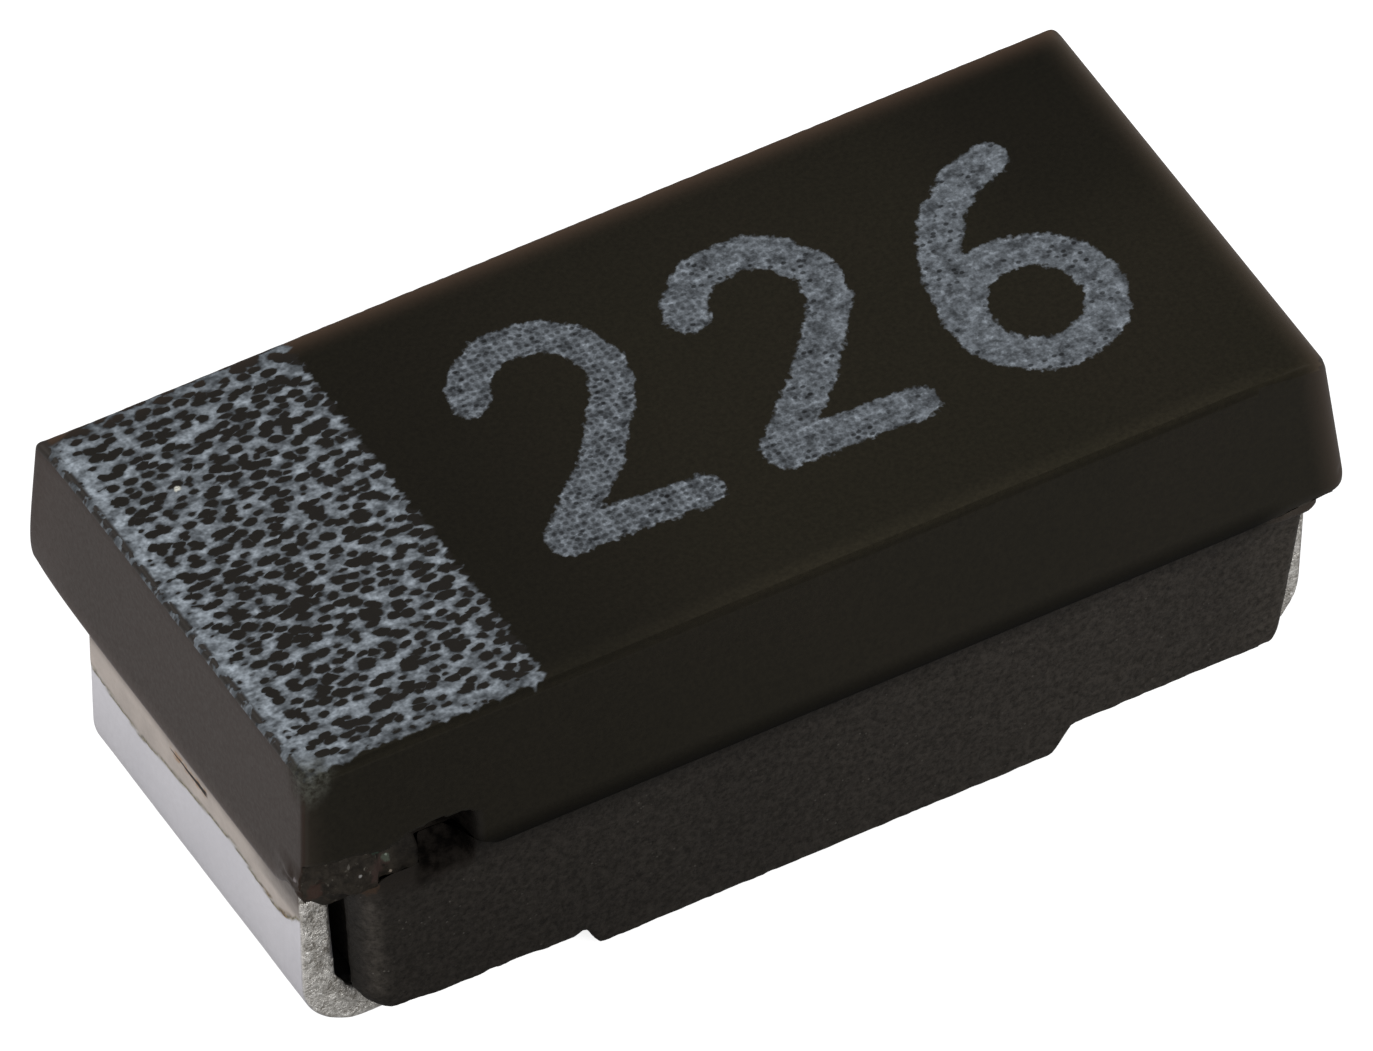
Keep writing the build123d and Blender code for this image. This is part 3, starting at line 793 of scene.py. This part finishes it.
def epoxy_upper(name, marked):
    """Moulded skin: smooth, nearly black brown; the marked one also carries the band and the value code."""
    m = Tree(name)
    x, y, z = m.xyz()
    broad = m.noise(1.6, detail=1)
    fine = m.noise(70, detail=2, rough=0.7)
    crumb = m.noise(58, detail=3, rough=0.7)
    gate, pit_shade, ledge, chip = m.attr("gate"), m.attr("pit_shade"), m.attr("ledge"), m.attr("chip")
    base = m.mix(m.line(broad, 0.35, 0.65, 0, 1), (0.0096, 0.0083, 0.0048), (0.0106, 0.0089, 0.0054))
    base = m.tint(base, m.line(fine, 0.3, 0.7, 0.80, 1.20))
    if marked:
        # painted light and shade on the top: darker on its left part, lighter towards the near side, darker towards the
        # far right, a painted highlight along the near rim and a painted dark line at the near edge; the rounded edge
        # below the top is painted darker, less so at the right end
        top = m.step(z, 1.138, 1.150)
        shade = m.blend(m.step(x, -0.75, 0.05), 0.74, m.line(y, 0.30, 0.65, 1.26, 1.0))
        shade = m.mul(shade, m.sub(1.0, m.mul(m.step(x, 0.85, 1.25), m.step(y, -0.15, 0.30), 0.38)))
        fade = m.step(x, 1.54, 1.28)
        shade = m.mul(shade, m.add(1.0, m.mul(m.step(y, -0.655, -0.722), fade, 0.50)))
        shade = m.mul(shade, m.sub(1.0, m.mul(m.step(y, -0.724, -0.732), fade, 0.45)))
        base = m.tint(base, m.blend(top, m.line(x, 1.22, 1.48, 0.80, 1.02), shade))
        # painted highlight: lighter and warmer towards the rounded right end of the top; the far edge of the top is
        # also made lighter and warmer
        far = m.math("POWER", m.line(y, 0.630, 0.738, 0.0, 1.0), 2.6)
        end = m.math("POWER", m.line(x, 1.450, 1.583, 0.0, 1.0), 3.2)
        base = m.mix(m.mul(far, m.step(z, 1.135, 1.145)), base, (0.0900, 0.0560, 0.0380))
        base = m.mix(end, base, (0.0950, 0.0700, 0.0500))
    else:
        left = m.attr("left")
        # painted shade: the near face is darker, more so towards the left end
        near = m.mul(m.step(y, -0.700, -0.715), m.sub(1.0, left))
        base = m.tint(base, m.blend(near, 1.0, m.line(x, -1.25, 0.0, 0.62, 0.84)))
        # painted highlight: lighter and warmer towards the rounded right end of the near and right faces, and a little
        # towards the left end of the near face
        reach = m.add(x, m.mul(m.sub(z, BASE), 0.0825))
        edge = m.add(m.math("POWER", m.line(reach, 1.512, 1.622, 0.0, 1.0), 1.5), m.mul(m.math("POWER", m.line(x, -1.480, -1.598, 0.0, 1.0), 2.0), 0.34))
        base = m.mix(m.mul(m.math("MAXIMUM", near, m.step(x, 1.54, 1.57)), edge), base, (0.0460, 0.0340, 0.0260))
        # painted shade: a dark band along the bottom of the near face above the parting edge, fading out towards the
        # cathode end
        overhang_shade = m.mul(m.line(z, 0.735, 0.655, 0.0, 1.0), near, m.step(x, 1.46, 1.32))
        base = m.tint(base, m.sub(1.0, m.mul(overhang_shade, 0.94)))
        # painted light: the left end face, which looks to the key light, gets its own warmer colour. It is also made
        # lighter and warmer towards its bottom and far end.
        base = m.mix(left, base, (0.0158, 0.0078, 0.0044))
        foot = m.math("MAXIMUM", m.step(z, 0.765, 0.700), m.mul(m.step(y, 0.45, 0.74), 0.45))
        base = m.mix(m.mul(left, foot, 0.65), base, (0.0440, 0.0290, 0.0240))

    mark = None
    if marked:
        # laser-marked band: pale foam with rounded dark pits, stretched along X
        on_top = m.step(m.add(z, m.mul(m.sub(m.noise(48, detail=2), 0.5), 0.030)), 1.126, 1.142)
        warp = m.noise(20, detail=2, color=True, dims="2D")
        w = m.node("ShaderNodeVectorMath", operation="SUBTRACT")
        m.t.links.new(warp, w.inputs[0])
        w.inputs[1].default_value = (0.5, 0.5, 0.5)
        place = m.shift(m.mm(), m.stretch(0.022, 0.013, 0.0, w.outputs[0]))
        cells = m.stretch(1 / 0.050, 1 / 0.031, 0.0, place)
        f1 = m.voronoi(1.0, cells, feature="SMOOTH_F1", random=0.95, smooth=0.36, dims="2D")
        luck = m.node("ShaderNodeSeparateColor")
        m.t.links.new(m.voronoi(1.0, cells, random=0.88, out="Color", dims="2D"), luck.inputs[0])
        streak = m.noise(1.0, m.stretch(1 / 0.072, 1 / 0.032, 0.0), detail=2, rough=0.55, dims="2D")
        small = m.noise(1.0, m.stretch(1 / 0.024, 1 / 0.016, 0.0), detail=2, rough=0.6, dims="2D")
        field = m.add(f1, m.mul(m.sub(streak, 0.5), 0.72), m.mul(m.sub(small, 0.5), 0.16), m.mul(m.sub(0.5, luck.outputs[0]), 0.20))
        left_rim = m.step(x, -1.482, -1.512)
        near_rim = m.step(y, -0.672, -0.702)
        far_rim = m.step(y, 0.60, 0.70)
        solid = m.math("MAXIMUM", left_rim, near_rim)
        limit = m.sub(0.405, m.mul(solid, 0.34))
        pits = m.step(m.sub(field, limit), 0.085, -0.060)
        web = m.sub(1.0, pits)
        bnoise = m.noise(1.0, m.stretch(1 / 0.40, 1 / 0.034, 0.0), detail=2, rough=0.6, dims="2D")
        band = m.step(m.sub(x, m.add(-0.818, m.mul(m.sub(bnoise, 0.5), 0.060))), 0.008, -0.008)
        # ragged outer rim: crumbs and notches, short of the far corner
        notch = m.step(m.noise(1.0, m.stretch(1 / 0.030, 1 / 0.040, 0.0), detail=2, dims="2D"), 0.44, 0.52)
        band = m.mul(band, m.sub(1.0, m.mul(m.step(x, -1.540, -1.552), notch)), on_top)
        band = m.mul(band, m.step(m.sub(y, m.mul(m.step(x, -1.46, -1.54), -0.030)), 0.738, 0.722))
        scallop = m.noise(1.0, m.stretch(1 / 0.050, 1 / 0.30, 0.0), detail=2, dims="2D")
        band = m.mul(band, m.step(m.add(y, m.mul(m.sub(scallop, 0.5), 0.040)), -0.728, -0.718))
        mottle = m.noise(1.0, m.stretch(1 / 0.052, 1 / 0.038, 0.0), detail=2, rough=0.6, dims="2D")
        sandy = m.noise(1.0, m.stretch(1 / 0.014, 1 / 0.012, 0.0), detail=1, dims="2D")
        bright = m.mul(m.line(mottle, 0.33, 0.70, 0.50, 1.66), m.line(sandy, 0.30, 0.70, 0.76, 1.24))
        bright = m.mul(bright, m.line(m.sub(field, limit), 0.0, 0.32, 0.72, 1.42))
        bright = m.mul(bright, m.blend(far_rim, 1.0, 0.78), m.blend(solid, 1.0, 0.72))
        strip = m.mul(m.step(x, -1.560, -1.528), m.step(x, -1.475, -1.520))
        bright = m.mul(bright, m.blend(strip, m.blend(left_rim, 1.0, 0.85), 1.75))

        # value code: laser strokes with a soft scalloped edge, each stroke grained a little differently
        ink = m.attr("ink")
        rag = m.add(m.mul(m.sub(m.noise(52, detail=2, dims="2D"), 0.5), 0.026), m.mul(m.sub(m.noise(19, detail=1, dims="2D"), 0.5), 0.024))
        d = m.add(ink, rag)
        stroke = m.mul(m.step(d, 0.006, -0.006), on_top)
        dots = m.voronoi(1.0, m.stretch(42, 44, 0), random=0.30, dims="2D")
        dotted = m.line(x, -0.10, 0.70, 0.55, 0.18)
        blot = m.noise(1.0, m.stretch(21, 25, 0.0), detail=3, rough=0.65, dims="2D")
        sand = m.noise(95, detail=2, rough=0.6, dims="2D")
        glint = m.step(m.noise(44, detail=2, rough=0.6, dims="2D"), 0.56, 0.70)
        ink_bright = m.mul(m.line(blot, 0.32, 0.70, 0.42, 1.60), m.line(sand, 0.3, 0.7, 0.76, 1.24))
        ink_bright = m.mul(ink_bright, m.sub(1.0, m.mul(m.step(dots, 0.44, 0.18), dotted)))
        ink_bright = m.mul(ink_bright, m.line(d, -0.022, -0.003, 1.0, 1.18), m.add(1.0, m.mul(glint, 0.45)))
        hollow = m.mul(m.step(m.voronoi(1.0, m.stretch(26, 34, 0), dims="2D"), 0.26, 0.14), m.step(m.noise(9, detail=1, dims="2D"), 0.48, 0.58))
        ink_bright = m.mul(ink_bright, m.sub(1.0, m.mul(hollow, 0.72)))

        base = m.mix(m.mul(m.step(x, -1.538, -1.552), 0.85), base, (0.0290, 0.0255, 0.0235))
        band_web = m.mul(band, web)
        base = m.mix(m.mul(band, 0.75), base, (0.0150, 0.0132, 0.0118))
        base = m.mix(band_web, base, m.tint((0.120, 0.135, 0.151), bright))
        base = m.mix(stroke, base, m.tint((0.112, 0.125, 0.140), ink_bright))
        base = spots(m, base, [((-1.332, 0.390, 1.155), 0.014, (0.62, 0.62, 0.55))])
        mark = m.math("MAXIMUM", band_web, stroke)

    # broken gate and chipped corner
    lumps = m.noise(24, detail=3, rough=0.65)
    rubble = m.mix(m.line(m.add(m.mul(lumps, 0.6), m.mul(crumb, 0.4)), 0.38, 0.62, 0, 1), (0.0045, 0.0036, 0.0028), (0.0200, 0.0165, 0.0125))
    base = m.mix(m.mul(gate, 0.90), base, rubble)
    base = m.mix(m.mul(ledge, m.step(crumb, 0.63, 0.74), 0.8), base, (0.090, 0.084, 0.070))
    if not marked:
        base = m.tint(base, m.sub(1.0, m.mul(gate, m.step(x, -1.315, -1.290), 0.45)))
        base = spots(m, spots(m, base, STAINS[2:3] + FLECKS[2:], m.step(y, -0.60, -0.66)), STAINS[3:] + FLECKS[:2])
    # painted shade: near black inside the broken gate's hole
    base = m.mix(m.mul(pit_shade, 0.95), base, m.mix(m.line(m.noise(30, detail=3), 0.40, 0.62, 0, 1), PITCH_BLACK, (0.0090, 0.0075, 0.0064)))
    base = m.mix(m.mul(chip, 0.85), base, m.mix(m.line(m.add(m.mul(lumps, 0.4), m.mul(crumb, 0.6)), 0.40, 0.62, 0, 1), (0.0130, 0.0125, 0.0090), (0.070, 0.072, 0.060)))

    broken = m.math("MAXIMUM", gate, chip)
    rough = m.line(fine, 0.3, 0.7, 0.42, 0.50)
    height = m.add(m.mul(fine, 0.10), m.mul(crumb, m.mul(broken, 1.2)))
    if marked:
        rough = m.blend(mark, rough, 0.72)
        rough = m.blend(m.mul(m.step(y, -0.722, -0.730), m.step(z, 1.120, 1.132)), rough, 0.95)
        height = m.add(height, m.mul(mark, 0.9))
    rough = m.blend(m.math("MAXIMUM", m.mul(broken, 0.5), pit_shade), rough, 0.95)
    hush = pit_shade if marked else m.math("MAXIMUM", m.mul(pit_shade, 0.95), m.mul(overhang_shade, 0.85))
    m.put(m.mul(m.sub(1.0, hush), 0.14), m.bsdf.inputs["Specular IOR Level"])
    return m.out(base, rough, None, m.bump(height, 0.0000022, 1.0), Specular_Tint=(1.0, 0.93, 0.84, 1.0))


def tin(name):
    m = Tree(name)
    x, y, z = m.xyz()
    broad = m.noise(2.2, detail=3)
    fine = m.noise(60, detail=3, rough=0.65)
    drawn = m.noise(1.0, m.stretch(3, 34, 3), detail=2)
    cut, crease, hole_shade_and_dark_line, rust = m.attr("cut"), m.attr("crease"), m.attr("hole_shade_and_dark_line"), m.attr("rust")
    base = m.mix(m.line(broad, 0.3, 0.7, 0, 1), (0.605, 0.597, 0.628), (0.680, 0.668, 0.694))
    base = m.tint(base, m.line(fine, 0.3, 0.7, 0.95, 1.03))
    # painted shade and painted reflection of the case on the lead's outer face between the plating line and the case:
    # darker and warmer towards the case, and darker again towards the near edge
    film = m.mix(m.step(z, 0.482, 0.538), (0.435, 0.385, 0.345), (0.170, 0.142, 0.124))
    film = m.tint(film, m.mul(m.line(m.noise(9, detail=3), 0.3, 0.7, 0.88, 1.12), m.sub(1.0, m.mul(m.step(y, -0.28, -0.46), m.step(z, 0.450, 0.485), 0.42))))
    base = m.mix(m.attr("above"), base, film)
    sparkle = m.noise(85, detail=3, rough=0.75)
    grain = m.mix(m.line(m.add(m.mul(sparkle, 0.55), m.mul(m.noise(26, detail=3, rough=0.6), 0.45)), 0.40, 0.60, 0, 1), (0.215, 0.195, 0.158), (0.76, 0.74, 0.69))
    grain = m.mix(m.step(m.noise(75, detail=2, rough=0.7), 0.62, 0.70), grain, (1.0, 0.98, 0.94))
    base = m.mix(m.mul(cut, 0.90), base, grain)
    base = m.mix(crease, base, m.mix(m.line(sparkle, 0.4, 0.6, 0, 1), (0.050, 0.042, 0.018), (0.24, 0.205, 0.110)))
    base = m.mix(rust, base, m.mix(m.line(sparkle, 0.4, 0.6, 0, 1), (0.070, 0.040, 0.018), (0.22, 0.15, 0.07)))
    # a thin dark tapered line with a brown fringe on the anode lead's outer face, under the case
    run = m.mul(m.step(x, -1.500, -1.508), m.step(y, -0.085, -0.066), m.step(y, 0.138, 0.118))
    off = m.math("ABSOLUTE", m.sub(z, m.add(0.486, m.mul(m.sub(m.noise(30, detail=2), 0.5), 0.010))))
    line = m.mul(run, m.step(m.sub(off, m.line(y, 0.125, -0.050, 0.0015, 0.0085)), 0.002, -0.002))
    fringe = m.mul(run, m.step(off, 0.024, 0.008), m.line(m.noise(40, detail=2), 0.40, 0.60, 0.1, 0.8))
    base = m.mix(fringe, base, (0.30, 0.17, 0.075))
    # painted shade: near black inside the small dent in the cut edge; the same colour draws the thin dark line
    hole_shade_and_dark_line = m.math("MAXIMUM", hole_shade_and_dark_line, line)
    base = m.mix(hole_shade_and_dark_line, base, (0.012, 0.008, 0.006))
    rough = m.add(m.line(fine, 0.3, 0.7, 0.36, 0.46), m.mul(cut, 0.06), m.mul(drawn, 0.03))
    spoilt = m.math("MAXIMUM", m.mul(m.math("MAXIMUM", crease, rust), 0.7), m.mul(hole_shade_and_dark_line, 0.95))
    height = m.add(m.mul(fine, 0.35), m.mul(m.mul(sparkle, cut), 2.6), m.mul(drawn, 0.25))
    rough = m.blend(spoilt, rough, 0.90)
    return m.out(base, rough, m.sub(1.0, spoilt), m.bump(height, 0.0000022, 1.0))


def inner(name, a, b, scale, rough, metal=0.0, bump=0.000002, spec=None):
    """Finish of a part that the moulding hides."""
    m = Tree(name)
    n = m.noise(scale, detail=3, rough=0.65)
    c = m.mix(m.line(n, 0.35, 0.65, 0, 1), a, b)
    r = m.line(n, 0.3, 0.7, rough - 0.06, rough + 0.06)
    m.bsdf.inputs["Metallic"].default_value = metal
    return m.out(c, r, None, m.bump(n, bump, 1.0))


# ---------------------------------------------------------------- pieces

verts, quads, skin, attributes = build_case()
case = make("case_moulding", verts, quads, [epoxy_upper("epoxy_side", False), epoxy_lower("epoxy_lower"), epoxy_upper("epoxy_marked", True)], skin, **attributes)
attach(case, "root")
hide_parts("moulded_case")

plating = tin("tin_plating")
verts, quads, attributes = build_lead([(-1.330, 0.637), (-1.470, 0.637), (-1.470, 0.045), (-0.775, 0.045)], [0.065, 0.155], -1, 301,
                                      [(-1.334, 0.637), (-1.245, 0.637), (-1.125, 0.485), (-0.850, 0.485)], [0.050, 0.050])
anode = make("anode_lead", verts, quads, [plating], **attributes)
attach(anode, "root")
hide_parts("anode_terminal")

verts, quads, attributes = build_lead([(1.400, 0.637), (1.555, 0.637), (1.512, 0.045), (0.855, 0.045)], [0.065, 0.155], 1, 401,
                                      [(1.404, 0.637), (1.100, 0.637), (1.040, 0.250), (0.060, 0.250)], [0.060, 0.060])
cathode = make("cathode_lead", verts, quads, [plating], **attributes)
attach(cathode, "root")
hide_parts("cathode_terminal")

INNER = {
    "anode_pellet": inner("sintered_tantalum_grain", (0.060, 0.060, 0.064), (0.130, 0.130, 0.135), 60, 0.75),
    "anode_wire": inner("tantalum_wire_drawn", (0.300, 0.300, 0.320), (0.400, 0.400, 0.415), 40, 0.32, 1.0),
    "insulating_washer": inner("fluoropolymer_white", (0.62, 0.62, 0.60), (0.74, 0.74, 0.72), 12, 0.42),
    "electrolyte_coat": inner("manganese_dioxide_black", (0.010, 0.009, 0.009), (0.030, 0.027, 0.026), 50, 0.80),
    "graphite_coat": inner("graphite_film", (0.020, 0.020, 0.022), (0.045, 0.045, 0.048), 35, 0.55),
    "silver_coat": inner("silver_paint_film", (0.48, 0.48, 0.47), (0.66, 0.66, 0.64), 45, 0.50, 0.8),
    "silver_adhesive": inner("silver_epoxy_bond", (0.40, 0.40, 0.39), (0.58, 0.58, 0.56), 30, 0.55, 0.7),
}
for name, material in INNER.items():
    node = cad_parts[name]
    node.data.materials.clear()
    node.data.materials.append(material)

# ---------------------------------------------------------------- floor, world, lights

floor_mesh = bpy.data.meshes.new("floor")
S = 0.6
floor_mesh.from_pydata([(-S, -S, 0), (S, -S, 0), (S, S, 0), (-S, S, 0)], [], [(0, 1, 2, 3)])
floor = bpy.data.objects.new("floor", floor_mesh)
bpy.context.scene.collection.objects.link(floor)
m = Tree("floor_pale")
m.t.nodes.remove(m.bsdf)
output = next(n for n in m.t.nodes if n.type == "OUTPUT_MATERIAL")
x, y, z = m.xyz()
path = m.node("ShaderNodeLightPath")
seen = m.node("ShaderNodeEmission")
seen.inputs["Color"].default_value = (1, 1, 1, 1)
seen.inputs["Strength"].default_value = 0.86
matte = m.node("ShaderNodeBsdfDiffuse")
matte.inputs["Color"].default_value = (0.45, 0.45, 0.45, 1)
both = m.node("ShaderNodeAddShader")
m.t.links.new(seen.outputs[0], both.inputs[0])
m.t.links.new(matte.outputs[0], both.inputs[1])
glow = m.node("ShaderNodeEmission")
glow.inputs["Color"].default_value = (1.0, 0.99, 1.0, 1)
m.put(m.blend(m.line(x, -2.0, -1.25, 1.0, 0.0), m.line(x, -1.2, 2.0, 0.20, 0.45), 1.05), glow.inputs["Strength"])
pick = m.node("ShaderNodeMixShader")
m.t.links.new(path.outputs["Is Camera Ray"], pick.inputs[0])
m.t.links.new(glow.outputs[0], pick.inputs[1])
m.t.links.new(both.outputs[0], pick.inputs[2])
m.t.links.new(pick.outputs[0], output.inputs["Surface"])
floor_mesh.materials.append(m.material)

world = bpy.data.worlds.new("studio")
bpy.context.scene.world = world
world.use_nodes = True
wt = world.node_tree
bg = next(n for n in wt.nodes if n.type == "BACKGROUND")
bg.inputs["Color"].default_value = (1, 1, 1, 1)
wpath = wt.nodes.new("ShaderNodeLightPath")
wmix = wt.nodes.new("ShaderNodeMix")
wmix.data_type = "FLOAT"
wmix.inputs[2].default_value = 0.30
wmix.inputs[3].default_value = 1.05
wt.links.new(wpath.outputs["Is Camera Ray"], wmix.inputs[0])
wt.links.new(wmix.outputs[0], bg.inputs["Strength"])


def soft_light(name, direction, distance, size, power, color=(1, 1, 1)):
    data = bpy.data.lights.new(name, "AREA")
    data.shape = "SQUARE"
    data.size = size
    data.energy = power
    data.color = color
    o = bpy.data.objects.new(name, data)
    d = Vector(direction).normalized()
    o.location = d * distance
    o.rotation_mode = "QUATERNION"
    o.rotation_quaternion = d.to_track_quat("Z", "Y")
    bpy.context.scene.collection.objects.link(o)
    return o


soft_light("key", (-0.75, 0.55, 1.10), 0.25, 0.16, 0.30)
soft_light("front", (0.35, -1.00, 0.55), 0.25, 0.16, 0.54)

# ---------------------------------------------------------------- camera

AZ, EL, ROLL, SCALE, K, TX, TY = -28.184, 45.714, -1.480, 371.40, 0.0095, 685.14, 523.04
a, e, r = math.radians(AZ), math.radians(EL), math.radians(ROLL)
back = Vector((math.sin(a) * math.cos(e), -math.cos(a) * math.cos(e), math.sin(e)))
right = Vector((math.cos(a), math.sin(a), 0))
up = back.cross(right)
right, up = math.cos(r) * right + math.sin(r) * up, -math.sin(r) * right + math.cos(r) * up
centre = Vector((0, 0, BASE)) + right * ((686.5 - TX) / SCALE) - up * ((525.5 - TY) / SCALE)
data = bpy.data.cameras.new("camera")
data.sensor_width = 36.0
data.lens = SCALE / K / 1373 * 36.0
data.clip_start = 0.001
data.clip_end = 2.0
camera = bpy.data.objects.new("camera", data)
bpy.context.scene.collection.objects.link(camera)
spot = (centre + back / K) * MM
camera.matrix_world = Matrix(
    (
        (right.x, up.x, back.x, spot.x),
        (right.y, up.y, back.y, spot.y),
        (right.z, up.z, back.z, spot.z),
        (0, 0, 0, 1),
    )
)
bpy.context.scene.camera = camera
bpy.context.scene.view_settings.view_transform = "Standard"
bpy.context.scene.view_settings.look = "None"

bpy.context.view_layer.update()
